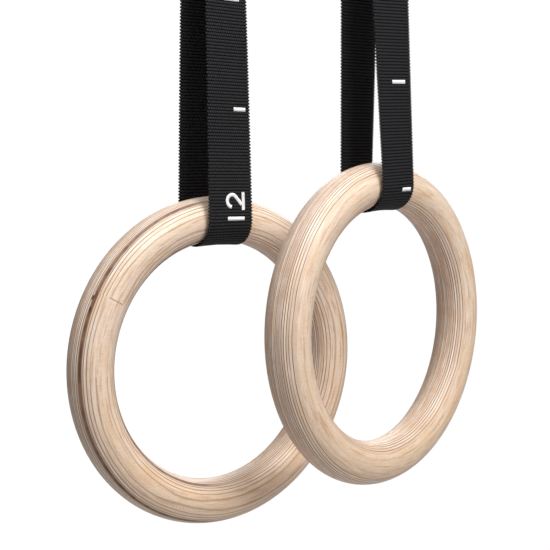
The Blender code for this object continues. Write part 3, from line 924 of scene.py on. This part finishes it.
def pin(name, node, centre, axis, finish):
    """A riveted pin with domed heads, turned about its axis."""
    reach = CHEEK_OUTSIDE + 0.0003
    profile = [(0.0, -reach - PIN_HEAD_RIM - PIN_HEAD_DOME)]
    for i in range(1, 7):
        turn = math.radians(15 * i)
        profile.append((PIN_HEAD_RADIUS * math.sin(turn),
                        -reach - PIN_HEAD_RIM - PIN_HEAD_DOME * math.cos(turn)))
    profile += [(PIN_HEAD_RADIUS, -reach), (PIN_RADIUS + 0.0003, -reach), (PIN_RADIUS, -reach + 0.0002)]
    profile += [(radius, -height) for radius, height in reversed(profile)]
    across = axis.normalized()
    side = across.orthogonal().normalized()
    other = across.cross(side)
    shape = bmesh.new()
    loops = []
    for radius, height in profile:
        if radius == 0.0:
            loops.append([shape.verts.new(centre + across * height)])
            continue
        turns = [math.tau * i / PIN_STEPS for i in range(PIN_STEPS)]
        loops.append([shape.verts.new(centre + across * height + (
            side * math.cos(t) + other * math.sin(t)) * radius) for t in turns])
    for first, second in zip(loops, loops[1:]):
        for i in range(PIN_STEPS):
            j = (i + 1) % PIN_STEPS
            corners = [first[i % len(first)], first[j % len(first)],
                       second[j % len(second)], second[i % len(second)]]
            shape.faces.new(list(dict.fromkeys(corners)))
    bmesh.ops.recalc_face_normals(shape, faces=shape.faces)
    mesh = bpy.data.meshes.new(name)
    shape.to_mesh(mesh)
    shape.free()
    mesh.materials.append(finish)
    mesh.shade_smooth()
    mesh.set_sharp_from_angle(angle=math.radians(35))
    made = linked(name, mesh)
    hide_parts(node)
    return made


def spring_line():
    """A torsion spring's wire about its own axis, which is X: down leg, turns and lever leg."""
    swept_angle = math.tau * SPRING_TURNS + LEVER_LEG_ANGLE - math.pi / 2
    half_span = SPRING_PITCH * SPRING_TURNS / 2
    steps = SPRING_TURNS * 40
    coil = []
    for i in range(steps + 1):
        turn = math.pi + swept_angle * i / steps
        coil.append(Vector((between(-half_span, half_span, i / steps),
                            SPRING_RADIUS * math.cos(turn), SPRING_RADIUS * math.sin(turn))))
    low = Vector((coil[0].x, -SPRING_RADIUS, -SPRING_LEG))
    along_lever = Vector((0, math.cos(LEVER_LEG_ANGLE), math.sin(LEVER_LEG_ANGLE)))
    high = coil[-1] + along_lever * SPRING_LEG
    down = [low.lerp(coil[0], i / 8) for i in range(8)]
    up = [coil[-1].lerp(high, i / 8) for i in range(1, 9)]
    return down + coil + up


def fit_buckle(side, hanger, trees, finishes):
    """The cam buckle: pressed frame, cast lever, two riveted pins and the spring."""
    lean = leaned(hanger)
    across = across_webbing(hanger["buckle_yaw"])
    outward = Vector((-across.y, across.x, 0))
    half_gap = hanger["buckle_half_gap"]
    axis = lean.to_3x3() @ across

    def place(out, level):
        return lean @ (outward * (half_gap + out) + Vector((0, 0, level)))

    housing = softened(side + "_pressed_frame", side + "_buckle_frame", finishes["steel"],
                       FRAME_ROUNDING)
    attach(housing, side + "_upper_loop")
    lever = softened(side + "_cam_handle", side + "_cam_lever", finishes["cast"],
                     LEVER_ROUNDING)
    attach(lever, side + "_cam")
    cam_centre = place(CAM_PIN_OUT, CAM_PIN_LEVEL)
    anchor = pin(side + "_anchor_rivet", side + "_anchor_pin",
                 place(ANCHOR_PIN_OUT, ANCHOR_PIN_LEVEL), axis, finishes["pin"])
    cam = pin(side + "_cam_rivet", side + "_cam_pin", cam_centre, axis, finishes["pin"])
    turned = Matrix.Translation(cam_centre) @ lean.to_3x3().to_4x4() @ Matrix.Rotation(
        math.radians(hanger["buckle_yaw"]), 4, "Z")
    wire = edge_mesh(side + "_wire", [[turned @ point for point in spring_line()]])
    spring = grown(side + "_torsion_spring", wire, trees["wire"], finishes["spring"], **{
        "Radius": WIRE_RADIUS, "Sides": WIRE_SIDES})
    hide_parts(side + "_cam_spring")
    for piece in (anchor, cam, spring):
        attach(piece, side + "_upper_loop")


def main():
    trees = {"ring": ring_tree(), "webbing": webbing_tree(), "print": print_tree(),
             "stitch": stitch_tree(), "wire": wire_tree()}
    finishes = {
        "webbing": nylon_webbing(), "thread": sewing_thread(), "print": print_film(),
        "steel": plated_steel("zinc_plated_steel", colour(0.66, 0.66, 0.655),
                              colour(0.52, 0.525, 0.53), 0.24),
        "pin": plated_steel("plated_pin_steel", colour(0.70, 0.70, 0.69),
                            colour(0.58, 0.58, 0.575), 0.18),
        "spring": plated_steel("spring_wire", colour(0.42, 0.42, 0.43),
                               colour(0.30, 0.30, 0.31), 0.26),
        "cast": cast_zinc()}
    for seed, (side, hanger) in enumerate(HANGERS.items()):
        lean = leaned(hanger)
        centre = lean @ Vector((0, 0, -hanger["drop"]))
        yaw = Matrix.Rotation(math.radians(hanger["ring_yaw"]), 3, "Z")
        turn = (lean.to_3x3() @ yaw).to_euler()
        wood = plywood(side + "_birch_plywood", centre, turn, seed * 7.0 + 1.0,
                       JOINT_ANGLE if side == "left" else None)
        hang_ring(side, trees, wood, centre, turn)
        hang_webbing(side, hanger, trees, finishes)
        fit_buckle(side, hanger, trees, finishes)


def set_stage():
    """A pale floor under plain soft studio light."""
    mesh = bpy.data.meshes.new("studio_floor")
    corners = [(x * FLOOR_REACH, y * FLOOR_REACH, FLOOR_LEVEL)
               for x, y in ((-1, -1), (1, -1), (1, 1), (-1, 1))]
    mesh.from_pydata(corners, [], [(0, 1, 2, 3)])
    floor = linked("studio_floor", mesh)
    pale = bpy.data.materials.new("pale_floor")
    pale.use_nodes = True
    g = Graph(pale.node_tree)
    pale.node_tree.nodes.clear()
    seen = g.node("ShaderNodeLightPath").outputs["Is Camera Ray"]
    matt = g.node("ShaderNodeBsdfDiffuse", sockets={"Color": colour(0.50, 0.49, 0.49)})
    glow = g.node("ShaderNodeEmission", sockets={"Color": colour(1, 1, 1), "Strength": GLOW})
    both = g.node("ShaderNodeMixShader", sockets={0: seen, 1: matt.outputs[0], 2: glow.outputs[0]})
    g.node("ShaderNodeOutputMaterial", sockets={"Surface": both.outputs[0]})
    mesh.materials.append(pale)

    world = bpy.data.worlds.new("studio")
    world.use_nodes = True
    bpy.context.scene.world = world
    world.node_tree.nodes.clear()
    g = Graph(world.node_tree)
    seen = g.value("ShaderNodeLightPath", output="Is Camera Ray")
    backdrop = g.node("ShaderNodeBackground", sockets={
        "Color": colour(1, 1, 1), "Strength": seen * (GLOW - FILL) + FILL})
    g.node("ShaderNodeOutputWorld", sockets={"Surface": backdrop.outputs[0]})


def softbox(name, location, size, power):
    """A square area light that faces the middle of the object and isn't seen itself."""
    light = bpy.data.lights.new(name, "AREA")
    light.shape = "SQUARE"
    light.size = size
    light.energy = power
    made = linked(name, light)
    made.location = location
    made.rotation_euler = (MIDDLE - Vector(location)).to_track_quat("-Z", "Y").to_euler()
    made.visible_camera = False


main()
set_stage()

# Camera, looking down a little and well round from the front
camera_data = bpy.data.cameras.new("camera")
camera_data.lens = 82.5
camera_data.sensor_width = 36
camera = linked("camera", camera_data)
camera.location = CAMERA_PLACE
camera.rotation_euler = (math.radians(90 - CAMERA_DIP), 0, math.radians(CAMERA_AZIMUTH))
bpy.context.scene.camera = camera
bpy.context.scene.view_settings.view_transform = "Standard"

softbox("key_softbox", (-0.15, -1.50, 0.95), 0.9, 28)
softbox("top_softbox", (-0.30, -0.30, 1.30), 1.2, 25)
softbox("left_softbox", (-1.20, -1.10, 1.00), 0.9, 2)
softbox("back_softbox", (1.3, 1.0, 0.5), 1.2, 16)
